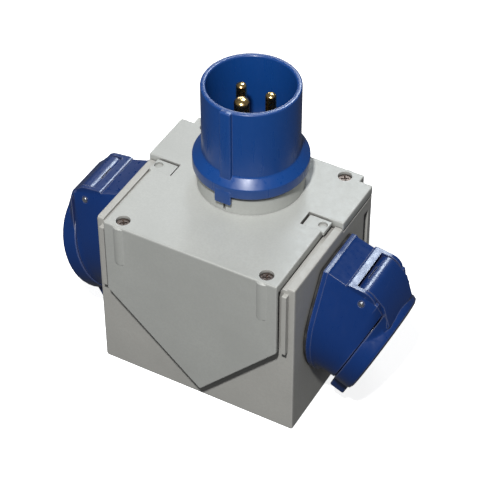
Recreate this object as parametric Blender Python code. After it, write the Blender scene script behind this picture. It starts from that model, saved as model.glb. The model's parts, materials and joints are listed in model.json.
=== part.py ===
"""Portable power distribution box: a three-pin inlet on top and one lidded outlet on each side.

Axes: +X to the right along the wide front face, +Y to the back, +Z up.
The origin is under the middle of the box, on the surface it stands on.  Lengths in metres.
"""
import math

import bmesh
import bpy
from mathutils import Matrix, Vector

# ---------------------------------------------------------------- driving sizes
BOX_WIDTH = 0.100            # across the two side walls
BOX_DEPTH = 0.075            # across the body's front and back walls
BOX_HEIGHT = 0.0912          # ground to the top of the cover
END_WALL = 0.003             # front and back wall of the body
SIDE_WALL = 0.004            # left and right wall of the body
FLOOR = 0.003
FIT = 0.0003                 # clearance left between pieces that touch

COVER_EDGE = 0.005           # depth of the cover at its border
COVER_SKIN = 0.003           # depth of the cover inside its border
APRON_THICKNESS = 0.0024     # pentagon plates hanging in front of and behind the body
APRON_PROUD = 0.0045         # how far they stand in front of the body walls
APRON_POINT = 0.004          # lowest point of the aprons, off the middle
COVER_STRIP = 0.0065         # side ledge left free by the narrow half of the cover
LEDGE_DROP = 0.0030          # side ledges, below the top of the cover
SCREW_INSET_X = 0.014        # cover screws, in from the side walls
SCREW_INSET_Y = 0.0005       # cover screws, in from the body's front and back walls
SCREW_RECESS = 0.0033        # radius of the hole round each screw head

INLET_OFFSET = 0.0145         # inlet stands behind the middle of the cover
SHROUD_RADIUS = 0.02225      # outside of the plug shroud
SHROUD_WALL = 0.00225
SHROUD_HEIGHT = 0.0350       # shroud above its collar
BOSS_HEIGHT = 0.009
BOSS_RADIUS = 0.0246
PIN_CIRCLE = 0.0085          # radius of the circle the three contacts stand on
LIVE_PIN = 0.0025            # radius of the line and neutral pins
EARTH_PIN = 0.0035           # radius of the earth pin

OUTLET_TILT = math.radians(24)   # outlets look this far below level
LID_RADIUS = 0.0257
LID_REACH = 0.0265            # lid face centre, out from the side wall
LID_HEIGHT = 0.0360          # lid face centre, above the ground
LID_DEPTH = 0.009
LID_WALL = 0.0024
LID_SKIN = 0.002
OUTLET_BORE = 0.0225         # radius the plug shroud passes through
OUTLET_WALL = 0.0017         # tube behind the side wall

# ---------------------------------------------------------------- derived sizes
HALF_W = BOX_WIDTH / 2
HALF_D = BOX_DEPTH / 2
COVER_BOTTOM = BOX_HEIGHT - COVER_EDGE
RIM_TOP = COVER_BOTTOM - FIT
COVER_HALF = HALF_W - COVER_STRIP
COVER_HALF_D = HALF_D + APRON_PROUD
APRON_LOW = BOX_HEIGHT * 0.085
SHELF_TOP = RIM_TOP - 0.0017
SHELF_DEPTH = 0.002
SHELF_LIP = 0.003
SCREW_X = HALF_W - SCREW_INSET_X
SCREW_Y = HALF_D - SCREW_INSET_Y
SCREW_SEAT = BOX_HEIGHT - 0.0036
SCREW_SHANK = 0.0015
SCREW_NECK = 0.0013            # radius of the small screws inside, and their holes below
SCREW_BITE = 0.0015
SCREW_CLEAR = 0.0018
OVER = 0.02                    # how far a cutting tool runs past what it cuts
NOTCH_FRONT = -0.001
NOTCH_BACK = 0.008
NOTCH_LENGTH = 0.0105
NOTCH_DEPTH = 0.003
BOSS_TOP = BOX_HEIGHT + BOSS_HEIGHT
INLET_HOLE = SHROUD_RADIUS - SHROUD_WALL - 0.0002
COLLAR_BOTTOM = BOSS_TOP + 0.0016
COLLAR_HEIGHT = 0.009
SHROUD_TOP = COLLAR_BOTTOM + COLLAR_HEIGHT + SHROUD_HEIGHT
INLET_FLOOR = COLLAR_BOTTOM + COLLAR_HEIGHT + 0.001

TILT_COS = math.cos(OUTLET_TILT)
TILT_SIN = math.sin(OUTLET_TILT)
OUT = Vector((TILT_COS, 0, -TILT_SIN))     # the way a plug comes out of the right outlet
UP = Vector((TILT_SIN, 0, TILT_COS))       # up across the face of its lid
ACROSS = Vector((0, 1, 0))
LID_CENTRE = Vector((HALF_W + LID_REACH, 0, LID_HEIGHT))
RIM_OUT = -LID_DEPTH - FIT                 # front of the outlet housing, behind the lid face
GASKET_THICK = 0.001
BASE_X = HALF_W + GASKET_THICK + 2 * FIT   # back of the outlet housing's base
TUBE_RADIUS = OUTLET_BORE + OUTLET_WALL
AXIS_AT_WALL = LID_HEIGHT + LID_REACH * math.tan(OUTLET_TILT)
BASE_RADIUS = TUBE_RADIUS + 0.0050         # round lower part of the outlet's base
BASE_RISE = (TUBE_RADIUS + 0.0066) / TILT_COS   # flat top of the base, above the outlet's axis
OUTLET_BACK = -0.050                       # back end of the outlet tube, behind the lid face
HINGE_OUT = -0.0195                        # hinge pin behind the lid face
HINGE_UP = LID_RADIUS + 0.0048              # hinge pin above the lid centre
KNUCKLE = 0.0058                           # radius of the lid's knuckle
KNUCKLE_HALF = 0.0117
EAR = 0.0020
BAR_TOP = HINGE_UP + 0.0036
CORNER = math.radians(67.5)                # where the flat top of an outlet ends, seen from its axis
HINGE_PIN = 0.0014
SPRING_ROOM = 0.0042                          # half the room for the spring, each way
HINGE_PIN_HALF = KNUCKLE_HALF + 0.0043
INSERT_RADIUS = OUTLET_BORE - 0.0047       # contact block the plug shroud slides over
INSERT_FRONT = -0.0115
CONTACT_FRONT = -0.014

ROUND = 40
OUTLET_ROUND = 48
PIN_ROUND = 20
SMALL_ROUND = 14


# ---------------------------------------------------------------- helpers
def clear_file():
    """Start from an empty file."""
    for thing in list(bpy.data.objects):
        bpy.data.objects.remove(thing, do_unlink=True)


def finish_mesh(name, bm):
    """Turn a bmesh into an object in the scene."""
    bmesh.ops.remove_doubles(bm, verts=bm.verts, dist=1e-7)
    bmesh.ops.recalc_face_normals(bm, faces=bm.faces)
    mesh = bpy.data.meshes.new(name)
    bm.to_mesh(mesh)
    bm.free()
    thing = bpy.data.objects.new(name, mesh)
    bpy.context.collection.objects.link(thing)
    return thing


def box(name, low, high):
    """A block between two corners."""
    bm = bmesh.new()
    bmesh.ops.create_cube(bm, size=1)
    for vert in bm.verts:
        for axis in range(3):
            vert.co[axis] = high[axis] if vert.co[axis] > 0 else low[axis]
    return finish_mesh(name, bm)


def skin_rings(name, rings):
    """A closed solid through rings of points, capped at both ends."""
    bm = bmesh.new()
    loops = []
    for ring in rings:
        loops.append([bm.verts.new(point) for point in ring])
    count = len(loops[0])
    for lower, upper in zip(loops, loops[1:]):
        for i in range(count):
            j = (i + 1) % count
            bm.faces.new((lower[i], lower[j], upper[j], upper[i]))
    bm.faces.new(loops[0])
    bm.faces.new(loops[-1])
    return finish_mesh(name, bm)


def ring_points(centre, side, other, radius, count):
    """Points of a circle spanned by two directions."""
    points = []
    for i in range(count):
        turn = math.tau * i / count
        points.append(centre + side * (radius * math.cos(turn)) + other * (radius * math.sin(turn)))
    return points


def rod(name, start, end, radius, count=ROUND):
    """A cylinder between two points; a pair of radii makes a cone."""
    start = Vector(start)
    end = Vector(end)
    axis = (end - start).normalized()
    side = axis.orthogonal().normalized()
    other = axis.cross(side)
    first, last = radius if isinstance(radius, tuple) else (radius, radius)
    rings = [ring_points(start, side, other, first, count), ring_points(end, side, other, last, count)]
    return skin_rings(name, rings)


def turned(name, profile, centre, axis, count=ROUND):
    """A solid of revolution: profile holds (radius, height) pairs, from the axis back to the axis."""
    axis = Vector(axis).normalized()
    side = axis.orthogonal().normalized()
    other = axis.cross(side)
    bm = bmesh.new()
    loops = []
    for radius, height in profile:
        middle = Vector(centre) + axis * height
        if radius == 0:
            loops.append([bm.verts.new(middle)])
        else:
            loops.append([bm.verts.new(p) for p in ring_points(middle, side, other, radius, count)])
    pairs = list(zip(loops, loops[1:]))
    if profile[0][0] != 0:
        pairs.append((loops[-1], loops[0]))
    for lower, upper in pairs:
        for i in range(count):
            j = (i + 1) % count
            corners = [lower[i % len(lower)], lower[j % len(lower)]]
            corners += [upper[j % len(upper)], upper[i % len(upper)]]
            unique = list(dict.fromkeys(corners))
            if len(unique) > 2:
                bm.faces.new(unique)
    return finish_mesh(name, bm)


def prism(name, outline, first, second, to_world):
    """A flat outline pushed from one level to another; to_world(a, b, level) gives the point."""
    rings = []
    for level in (first, second):
        rings.append([to_world(a, b, level) for a, b in outline])
    return skin_rings(name, rings)


def combine(target, tool, operation):
    """Add a tool to a piece or cut it away, and drop the tool."""
    step = target.modifiers.new(operation.lower(), "BOOLEAN")
    step.operation = operation
    step.solver = "EXACT"
    step.object = tool
    graph = bpy.context.evaluated_depsgraph_get()
    mesh = bpy.data.meshes.new_from_object(target.evaluated_get(graph))
    target.modifiers.clear()
    target.data = mesh
    bpy.data.objects.remove(tool, do_unlink=True)
    tidy = bmesh.new()
    tidy.from_mesh(mesh)
    bmesh.ops.remove_doubles(tidy, verts=tidy.verts, dist=2e-6)
    bmesh.ops.dissolve_degenerate(tidy, edges=tidy.edges, dist=2e-6)
    tidy.to_mesh(mesh)
    tidy.free()


def add(target, tool):
    combine(target, tool, "UNION")


def cut(target, tool):
    combine(target, tool, "DIFFERENCE")


def soften(target, width, steps=2, angle=35):
    """Round a piece's sharp edges."""
    step = target.modifiers.new("soften", "BEVEL")
    step.width = width
    step.segments = steps
    step.limit_method = "ANGLE"
    step.angle_limit = math.radians(angle)
    graph = bpy.context.evaluated_depsgraph_get()
    mesh = bpy.data.meshes.new_from_object(target.evaluated_get(graph))
    target.modifiers.clear()
    target.data = mesh


def material(name, colour, roughness, metallic=0.0):
    """A plain Principled BSDF finish."""
    finish = bpy.data.materials.new(name)
    finish.use_nodes = True
    shader = finish.node_tree.nodes["Principled BSDF"]
    shader.inputs["Base Color"].default_value = (*colour, 1)
    shader.inputs["Roughness"].default_value = roughness
    shader.inputs["Metallic"].default_value = metallic
    finish.diffuse_color = (*colour, 1)
    return finish


def dress(thing, name, finish):
    """Name a finished piece, give it its material and smooth its round faces."""
    thing.name = name
    thing.data.name = name
    thing.data.materials.clear()
    thing.data.materials.append(finish)
    for face in thing.data.polygons:
        face.material_index = 0
    thing.data.set_sharp_from_angle(angle=math.radians(32))
    return thing


def outlet_point(out, across, up):
    """A point given along the right outlet's own directions, from the centre of its lid face."""
    return LID_CENTRE + OUT * out + ACROSS * across + UP * up


def outlet_prism(name, outline, half):
    """A side outline of the outlet, given outward and upward, made as wide as two halves."""
    return prism(name, outline, -half, half, lambda out, up, across: outlet_point(out, across, up))


def hinge_place():
    return outlet_point(HINGE_OUT, 0, HINGE_UP)


def contact_places():
    """Name, sideways and upward place, and pin radius of the three contacts round a connector."""
    places = []
    around = (("earth", -90, EARTH_PIN), ("line", 30, LIVE_PIN), ("neutral", 150, LIVE_PIN))
    for label, degrees, radius in around:
        turn = math.radians(degrees)
        places.append((label, PIN_CIRCLE * math.cos(turn), PIN_CIRCLE * math.sin(turn), radius))
    return places


# ---------------------------------------------------------------- the box
def apron_corner_outline(side):
    """The corner left out below one sloping edge of the aprons."""
    shoulder = BOX_HEIGHT * 0.555
    run = COVER_HALF - side * APRON_POINT
    slope = (shoulder - APRON_LOW) / run
    over = 0.02
    return [(APRON_POINT, APRON_LOW), (side * (COVER_HALF + over), shoulder + slope * over),
            (side * (COVER_HALF + over), -over), (APRON_POINT, -over)]


def make_body(finish):
    """Open box with a thick rim, a sealing shelf, ledges and the lugs the cover screws bite in."""
    body = box("body", (-HALF_W, -HALF_D, 0), (HALF_W, HALF_D, BOX_HEIGHT - LEDGE_DROP))
    soften(body, 0.0012)
    inner_w = HALF_W - SIDE_WALL
    inner_d = HALF_D - END_WALL
    shelf_w = COVER_HALF - SHELF_LIP
    shelf_d = inner_d - SHELF_LIP
    over = BOX_HEIGHT + 0.01
    cut(body, box("hollow", (-inner_w, -inner_d, FLOOR), (inner_w, inner_d, SHELF_TOP - SHELF_DEPTH)))
    cut(body, box("mouth", (-shelf_w, -shelf_d, FLOOR + 0.02), (shelf_w, shelf_d, over)))
    cut(body, box("seat", (-COVER_HALF - FIT, -inner_d, SHELF_TOP), (COVER_HALF + FIT, inner_d, over)))
    # the end walls and the back half of the side walls stop under the cover
    cut(body, box("ends", (-COVER_HALF - FIT, -1, RIM_TOP), (COVER_HALF + FIT, 1, over)))
    cut(body, box("rear", (-1, NOTCH_BACK - FIT, RIM_TOP), (1, 1, over)))
    # a groove between the cover and each ledge
    groove = COVER_HALF + 0.0027
    cut(body, box("groove", (-groove, -1, RIM_TOP + 0.001), (groove, NOTCH_BACK, over)))
    # an upright channel near the back edge of each side wall
    for side in (-1, 1):
        low_x, high_x = sorted((side * (HALF_W + 0.001), side * (HALF_W - 0.0018)))
        channel = box("channel", (low_x, HALF_D - 0.0085, 0.006), (high_x, HALF_D - 0.004, RIM_TOP - 0.006))
        cut(body, channel)
    # lugs for the screws, outside the seal and hidden behind the aprons
    lug_low = RIM_TOP - 0.024
    lug_front = COVER_HALF_D - APRON_THICKNESS - FIT
    for side in (-1, 1):
        for end in (-1, 1):
            mid = side * SCREW_X
            near, far = sorted((end * (HALF_D - 0.001), end * lug_front))
            add(body, box("lug", (mid - 0.0035, near, lug_low), (mid + 0.0035, far, RIM_TOP)))
            hole = rod("hole", (mid, end * SCREW_Y, lug_low + 0.002), (mid, end * SCREW_Y, over),
                       SCREW_SHANK + 0.00015, SMALL_ROUND)
            cut(body, hole)
    # slim upright ribs beside the aprons
    for side in (-1, 1):
        for end in (-1, 1):
            low_x, high_x = sorted((side * (COVER_HALF + 0.0013), side * (COVER_HALF + 0.0035)))
            low_y, high_y = sorted((end * (HALF_D - 0.001), end * (HALF_D + 0.0025)))
            rib = box("rib", (low_x, low_y, BOX_HEIGHT * 0.55), (high_x, high_y, RIM_TOP - 0.001))
            add(body, rib)
    # openings the outlets pass through, and holes for the screws holding them
    for side in (-1, 1):
        turn = Matrix.Rotation(0 if side > 0 else math.pi, 4, "Z")
        start = turn @ outlet_point(OUTLET_BACK, 0, 0)
        end = turn @ outlet_point(-0.008, 0, 0)
        cut(body, rod("port", start, end, TUBE_RADIUS + 0.0005))
        for across in (-1, 1):
            y = across * OUTLET_SCREW_ACROSS
            hole = rod("hole", turn @ Vector((HALF_W - OVER, y, OUTLET_SCREW_Z)),
                       turn @ Vector((HALF_W + OVER, y, OUTLET_SCREW_Z)), SCREW_CLEAR, SMALL_ROUND)
            cut(body, hole)
    return dress(body, "box_body", finish)


def make_cover(finish):
    """Saddle cover: top plate, two pentagon aprons, inlet boss and recessed screw holes."""
    cover = box("plate", (-COVER_HALF, -COVER_HALF_D, APRON_LOW), (COVER_HALF, COVER_HALF_D, BOX_HEIGHT))
    inside_d = COVER_HALF_D - APRON_THICKNESS
    cut(cover, box("inside", (-1, -inside_d, -1), (1, inside_d, COVER_BOTTOM)))
    for side in (-1, 1):
        corner = prism("corner", apron_corner_outline(side), -1, 1, lambda a, b, level: Vector((a, level, b)))
        cut(cover, corner)
    soften(cover, 0.0009)
    rear = box("rear", (-HALF_W, NOTCH_BACK, COVER_BOTTOM), (HALF_W, HALF_D, BOX_HEIGHT))
    soften(rear, 0.0009)
    add(cover, rear)
    # half-round swellings in front of the screws
    for side in (-1, 1):
        for end in (-1, 1):
            place = Vector((side * SCREW_X, end * (COVER_HALF_D - 0.0036), BOX_HEIGHT))
            profile = [(0, -0.0247), (0.003, -0.0240), (0.0044, -0.0217),
                       (0.0044, -0.0010), (0.0036, -0.0003), (0, -0.0003)]
            swelling = turned("swelling", profile, place, (0, 0, 1), PIN_ROUND)
            inner = end * (COVER_HALF_D - APRON_THICKNESS + 0.0004)
            low_y, high_y = sorted((inner, -end))
            cut(swelling, box("half", (-1, low_y, 0), (1, high_y, COVER_BOTTOM + 0.001)))
            add(cover, swelling)
    # underside pocket
    pocket_x = COVER_HALF - 0.0115
    pocket_y = HALF_D - 0.0105
    cut(cover, box("pocket", (-pocket_x, -pocket_y, COVER_BOTTOM - OVER),
                   (pocket_x, pocket_y, BOX_HEIGHT - COVER_SKIN)))
    centre = Vector((0, INLET_OFFSET, 0))
    boss_bottom = BOX_HEIGHT - COVER_SKIN / 2
    boss_profile = [(0, boss_bottom), (BOSS_RADIUS, boss_bottom), (BOSS_RADIUS, BOSS_TOP - 0.0004),
                    (BOSS_RADIUS - 0.0004, BOSS_TOP), (0, BOSS_TOP)]
    boss = turned("boss", boss_profile, centre, (0, 0, 1))
    # index groove at the front of the boss
    boss_front = INLET_OFFSET - BOSS_RADIUS
    cut(boss, box("index", (-0.0006, boss_front - 0.001, BOX_HEIGHT + 0.0012),
                  (0.0006, boss_front + 0.0011, BOSS_TOP + 0.001)))
    add(cover, boss)
    low = Vector((0, 0, COVER_BOTTOM - OVER))
    high = Vector((0, 0, BOSS_TOP + OVER))
    cut(cover, rod("inlet_hole", centre + low, centre + high, INLET_HOLE))
    for side in (-1, 1):
        cut(cover, inlet_screw_hole(side, BOSS_TOP + OVER))
        # blind notch for the catch
        low_x, high_x = sorted((side * (COVER_HALF - NOTCH_LENGTH), side * (COVER_HALF + 0.002)))
        cut(cover, box("notch", (low_x, NOTCH_FRONT, BOX_HEIGHT - NOTCH_DEPTH),
                       (high_x, NOTCH_BACK, BOX_HEIGHT + OVER)))
        for end in (-1, 1):
            place = Vector((side * SCREW_X, end * SCREW_Y, 0))
            seat = Vector((0, 0, SCREW_SEAT))
            cut(cover, rod("recess", place + seat, place + high, SCREW_RECESS, PIN_ROUND))
            cut(cover, rod("hole", place + low, place + high, SCREW_SHANK + 0.0002, SMALL_ROUND))
    return dress(cover, "box_cover", finish)


def make_cover_gasket(finish):
    """Square-cord seal on the shelf inside the rim."""
    outer_w = COVER_HALF
    outer_d = HALF_D - END_WALL - FIT
    cord = SHELF_LIP - 2 * FIT
    bottom = SHELF_TOP + FIT
    top = COVER_BOTTOM - FIT
    seal = box("seal", (-outer_w, -outer_d, bottom), (outer_w, outer_d, top))
    cut(seal, box("inside", (cord - outer_w, cord - outer_d, 0), (outer_w - cord, outer_d - cord, 1)))
    return dress(seal, "cover_gasket", finish)


def make_cover_screws(finish):
    """Cross-slotted screws, sunk below the top of the cover."""
    length = 0.021
    head_top = SCREW_SEAT + 0.0022
    head = SCREW_RECESS - 0.0004
    tip = SCREW_SEAT - length
    profile = [(0, tip), (0.0008, tip), (SCREW_SHANK, tip + 0.002), (SCREW_SHANK, SCREW_SEAT + FIT),
               (head, SCREW_SEAT + FIT), (head, head_top - 0.0007), (head - 0.0008, head_top), (0, head_top)]
    screw = turned("screw", profile, (0, 0, 0), (0, 0, 1), SMALL_ROUND)
    arm = 0.0017
    half = 0.00035
    cross = box("cross", (-arm, -half, head_top - 0.001), (arm, half, 1))
    add(cross, box("bar", (-half, -arm, head_top - 0.001), (half, arm, 1)))
    cut(screw, cross)
    dress(screw, "cover_screw", finish)
    for end_name, end in (("front", -1), ("back", 1)):
        for side_name, side in (("left", -1), ("right", 1)):
            copy = bpy.data.objects.new("cover_screw_" + end_name + "_" + side_name, screw.data)
            copy.location = (side * SCREW_X, end * SCREW_Y, 0)
            copy.rotation_euler.z = math.radians(25 * side + 15 * end)
            bpy.context.collection.objects.link(copy)
    bpy.data.objects.remove(screw, do_unlink=True)


def make_catches(finish):
    """Tongues that fill the cover's notches and hold its edge at the end of each ledge."""
    inner = COVER_HALF - NOTCH_LENGTH + 0.0009
    outer = HALF_W - 0.0052
    floor = BOX_HEIGHT - NOTCH_DEPTH + FIT
    top = BOX_HEIGHT - 0.0006
    clip = box("clip", (inner, NOTCH_FRONT + FIT, floor), (outer, NOTCH_BACK - 0.0008, top))
    soften(clip, 0.0004)
    # a round hollow to lift the tongue by
    place = Vector((COVER_HALF - 0.0014, NOTCH_BACK - 0.0044, 0))
    low = place + Vector((0, 0, floor + 0.0008))
    cut(clip, rod("hollow", low, place + Vector((0, 0, top + OVER)), 0.0021, PIN_ROUND))
    dress(clip, "catch", finish)
    for name, side in (("cover_catch_right", 1), ("cover_catch_left", -1)):
        mesh = clip.data.copy()
        mesh.name = name
        if side < 0:
            # the left tongue is the mirror image of the right one
            mesh.transform(Matrix.Scale(-1, 4, (1, 0, 0)))
            mesh.flip_normals()
        copy = bpy.data.objects.new(name, mesh)
        bpy.context.collection.objects.link(copy)
    bpy.data.objects.remove(clip, do_unlink=True)


# ---------------------------------------------------------------- the inlet
INLET_SCREW_X = (INLET_HOLE + BOSS_RADIUS) / 2


def inlet_screw_hole(side, top):
    """Hole for one of the two screws that hold the inlet down."""
    return rod("hole", (side * INLET_SCREW_X, INLET_OFFSET, COVER_BOTTOM - OVER),
               (side * INLET_SCREW_X, INLET_OFFSET, top), SCREW_BITE, SMALL_ROUND)


def make_shroud(finish):
    """Round plug shroud on a flared collar, with the keyway rib at the front."""
    centre = (0, INLET_OFFSET, 0)
    inner = INLET_HOLE
    step = COLLAR_BOTTOM + COLLAR_HEIGHT
    collar = BOSS_RADIUS + 0.0019
    profile = [(inner, COLLAR_BOTTOM), (collar - 0.0005, COLLAR_BOTTOM), (collar, COLLAR_BOTTOM + 0.0005),
               (collar, step - 0.004), (collar - 0.0005, step - 0.0034),
               (SHROUD_RADIUS + 0.0007, step - 0.0008),
               (SHROUD_RADIUS, step), (SHROUD_RADIUS, SHROUD_TOP - 0.0005),
               (SHROUD_RADIUS - 0.0005, SHROUD_TOP), (inner + 0.0005, SHROUD_TOP),
               (inner, SHROUD_TOP - 0.0005)]
    shroud = turned("shroud", profile, centre, (0, 0, 1), 52)
    key_front = INLET_OFFSET - SHROUD_RADIUS - 0.0016
    key = box("key", (-0.0027, key_front, step - 0.002),
              (0.0027, INLET_OFFSET - SHROUD_RADIUS + 0.001, SHROUD_TOP))
    soften(key, 0.0005)
    add(shroud, key)
    # orientation tab hanging from the collar over the boss
    tab = box("tab", (-0.004, INLET_OFFSET - collar, COLLAR_BOTTOM - 0.0045),
              (0.004, INLET_OFFSET - BOSS_RADIUS - FIT, COLLAR_BOTTOM + 0.003))
    soften(tab, 0.0003)
    add(shroud, tab)
    for side in (-1, 1):
        cut(shroud, inlet_screw_hole(side, COLLAR_BOTTOM + 0.005))
    return dress(shroud, "inlet_shroud", finish)


def make_inlet_gasket(finish):
    """Flat seal between the boss and the collar."""
    bottom = BOSS_TOP + FIT
    top = COLLAR_BOTTOM - FIT
    outer = BOSS_RADIUS - 0.0003
    profile = [(INLET_HOLE, bottom), (outer, bottom), (outer, top), (INLET_HOLE, top)]
    seal = turned("seal", profile, (0, INLET_OFFSET, 0), (0, 0, 1))
    for side in (-1, 1):
        cut(seal, inlet_screw_hole(side, BOSS_TOP + OVER))
    return dress(seal, "inlet_gasket", finish)


def make_inlet_carrier(finish):
    """Insulating block that holds the three pins at the bottom of the shroud."""
    radius = INLET_HOLE - FIT
    centre = (0, INLET_OFFSET, 0)
    bottom = BOX_HEIGHT - 0.002
    profile = [(0, bottom), (radius, bottom), (radius, INLET_FLOOR - 0.0004), (radius - 0.0004, INLET_FLOOR),
               (0, INLET_FLOOR)]
    carrier = turned("carrier", profile, centre, (0, 0, 1))
    for label, across, up, pin in contact_places():
        x = across
        y = INLET_OFFSET + up
        add(carrier, rod("pad", (x, y, INLET_FLOOR - 0.002), (x, y, INLET_FLOOR + 0.0008),
                         pin + 0.0014, PIN_ROUND))
        cut(carrier, rod("hole", (x, y, 0), (x, y, 1), pin + 0.0001, PIN_ROUND))
    return dress(carrier, "inlet_pin_carrier", finish)


INLET_TAIL = BOX_HEIGHT - 0.0095


def make_inlet_pins(finish):
    """Round-nosed contact pins with a stub below for the wires."""
    for label, across, up, pin in contact_places():
        top = SHROUD_TOP - (0.0025 if label == "earth" else 0.0055)
        profile = [(0, INLET_TAIL), (pin, INLET_TAIL), (pin, top - pin * 0.55),
                   (pin * 0.85, top - pin * 0.25), (pin * 0.5, top - pin * 0.06), (0, top)]
        piece = turned("pin", profile, (0, 0, 0), (0, 0, 1), PIN_ROUND)
        piece.location = (across, INLET_OFFSET + up, 0)
        dress(piece, "inlet_pin_" + label, finish)


def make_inlet_screws(finish):
    """Screws from inside the box, up through the boss into the collar."""
    seat = BOX_HEIGHT - COVER_SKIN
    profile = [(0, seat - 0.0022), (0.0021, seat - 0.0022), (0.0025, seat - 0.0017), (0.0025, seat - FIT),
               (SCREW_NECK, seat - FIT), (SCREW_NECK, COLLAR_BOTTOM + 0.003),
               (0.0006, COLLAR_BOTTOM + 0.0045),
               (0, COLLAR_BOTTOM + 0.0045)]
    screw = turned("screw", profile, (0, 0, 0), (0, 0, 1), SMALL_ROUND)
    dress(screw, "inlet_screw", finish)
    for name, side in (("left", -1), ("right", 1)):
        copy = bpy.data.objects.new("inlet_screw_" + name, screw.data)
        copy.location = (side * INLET_SCREW_X, INLET_OFFSET, 0)
        bpy.context.collection.objects.link(copy)
    bpy.data.objects.remove(screw, do_unlink=True)


# ---------------------------------------------------------------- the outlets
OUTLET_SCREW_ACROSS = 0.0105
OUTLET_SCREW_Z = AXIS_AT_WALL + (TUBE_RADIUS + 0.0005) / TILT_COS + 0.0027


def teardrop(radius, height):
    """Sideways and upward places round a circle whose sides run straight up to a narrower flat top."""
    reach = height / math.sin(CORNER)
    leave = CORNER - math.acos(min(1, radius / reach))
    places = []
    for i in range(OUTLET_ROUND):
        turn = math.tau * i / OUTLET_ROUND
        rise = math.atan2(math.sin(turn), abs(math.cos(turn)))
        distance = radius
        if rise > leave:
            distance = radius / math.cos(rise - leave)
        if rise > CORNER - 1e-6:
            distance = height / math.sin(rise)
        places.append((distance * math.cos(turn), distance * math.sin(turn)))
    return places


def base_ring(x, grow):
    """Outline of the outlet's base at a distance from the wall."""
    outline = teardrop(BASE_RADIUS + grow, BASE_RISE + grow)
    return [Vector((x, across, AXIS_AT_WALL + up)) for across, up in outline]


def front_ring(out, radius, height):
    """Outline across the outlet's own axis."""
    return [outlet_point(out, across, up) for across, up in teardrop(radius, height)]


def make_hinge_block():
    """Two rounded ears for the pin, joined behind the knuckle by a bar."""
    across_half = KNUCKLE_HALF + FIT + 0.0001 + EAR
    low = OUTLET_BORE - 0.0023
    back = HINGE_OUT - KNUCKLE - 0.0042
    outline = [(back, low), (back, BAR_TOP - 0.0008), (back + 0.0008, BAR_TOP)]
    for degrees in range(110, -31, -20):
        turn = math.radians(degrees)
        outline.append((HINGE_OUT + (KNUCKLE + 0.0003) * math.cos(turn),
                        HINGE_UP + (KNUCKLE + 0.0003) * math.sin(turn)))
    outline.append((RIM_OUT - 0.0033, low))
    return outlet_prism("block", outline, across_half)


def hinge_pin_hole(clearance):
    """Hole for the hinge pin."""
    return rod("pin_hole", outlet_point(HINGE_OUT, -LID_RADIUS, HINGE_UP),
               outlet_point(HINGE_OUT, LID_RADIUS, HINGE_UP), HINGE_PIN + clearance, SMALL_ROUND)


def outlet_screw_hole(across, low_x, high_x, radius):
    """Hole through the side wall's line for a screw that holds the outlet."""
    return rod("hole", (low_x, across, OUTLET_SCREW_Z), (high_x, across, OUTLET_SCREW_Z), radius, SMALL_ROUND)


def make_outlet_housing():
    """Outlet body: drawn up from a round underside to the hinge, with a tube through the wall."""
    radius = LID_RADIUS - 0.0004
    rings = [base_ring(BASE_X, 0), base_ring(BASE_X + 0.0022, 0), base_ring(BASE_X + 0.0032, -0.0008),
             front_ring(RIM_OUT - 0.004, radius, BAR_TOP),
             front_ring(RIM_OUT - 0.0003, radius, HINGE_UP - 0.0008),
             front_ring(RIM_OUT, radius - 0.0003, HINGE_UP - 0.0011)]
    housing = skin_rings("housing", rings)
    add(housing, rod("tube", outlet_point(OUTLET_BACK, 0, 0), outlet_point(-0.02, 0, 0), TUBE_RADIUS))
    add(housing, make_hinge_block())
    ear_in = KNUCKLE_HALF + FIT + 0.0001
    bar_front = HINGE_OUT - KNUCKLE - FIT
    # room for the lid's knuckle and arm
    floor = HINGE_UP - KNUCKLE - FIT - 0.0001
    room = [(bar_front, floor), (bar_front, floor + OVER), (OVER, floor + OVER), (OVER, floor)]
    cut(housing, outlet_prism("room", room, ear_in))
    cut(housing, rod("bore", outlet_point(OUTLET_BACK - OVER, 0, 0), outlet_point(OVER, 0, 0), OUTLET_BORE))
    cut(housing, hinge_pin_hole(0.0001))
    for side in (-1, 1):
        across = side * OUTLET_SCREW_ACROSS
        cut(housing, outlet_screw_hole(across, BASE_X - OVER, BASE_X + 0.0065, SCREW_BITE))
    return housing


def make_outlet_gasket():
    """Thin flat seal between the side wall and the outlet base."""
    near = HALF_W + FIT
    seal = skin_rings("seal", [base_ring(near, -0.0005), base_ring(near + GASKET_THICK, -0.0005)])
    cut(seal, rod("port", outlet_point(OUTLET_BACK, 0, 0), outlet_point(-0.008, 0, 0), TUBE_RADIUS + 0.0004))
    for side in (-1, 1):
        across = side * OUTLET_SCREW_ACROSS
        cut(seal, outlet_screw_hole(across, HALF_W - OVER, HALF_W + OVER, SCREW_CLEAR))
    return seal


def make_contact_carrier():
    """Insulating block inside the outlet; the plug shroud slides round it."""
    base = OUTLET_BORE - FIT
    profile = [(0, OUTLET_BACK), (base, OUTLET_BACK), (base, OUTLET_BACK + 0.0045),
               (INSERT_RADIUS, OUTLET_BACK + 0.0045), (INSERT_RADIUS, INSERT_FRONT - 0.0006),
               (INSERT_RADIUS - 0.0006, INSERT_FRONT), (0, INSERT_FRONT)]
    carrier = turned("carrier", profile, LID_CENTRE, OUT)
    for label, across, up, pin in contact_places():
        mouth = rod("mouth", outlet_point(CONTACT_FRONT - 0.0215, across, up), outlet_point(0, across, up),
                    pin + 0.0009, PIN_ROUND)
        cut(carrier, mouth)
        tail = rod("tail", outlet_point(OUTLET_BACK - 0.01, across, up), outlet_point(-0.03, across, up),
                   0.0017, SMALL_ROUND)
        cut(carrier, tail)
    return carrier


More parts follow.
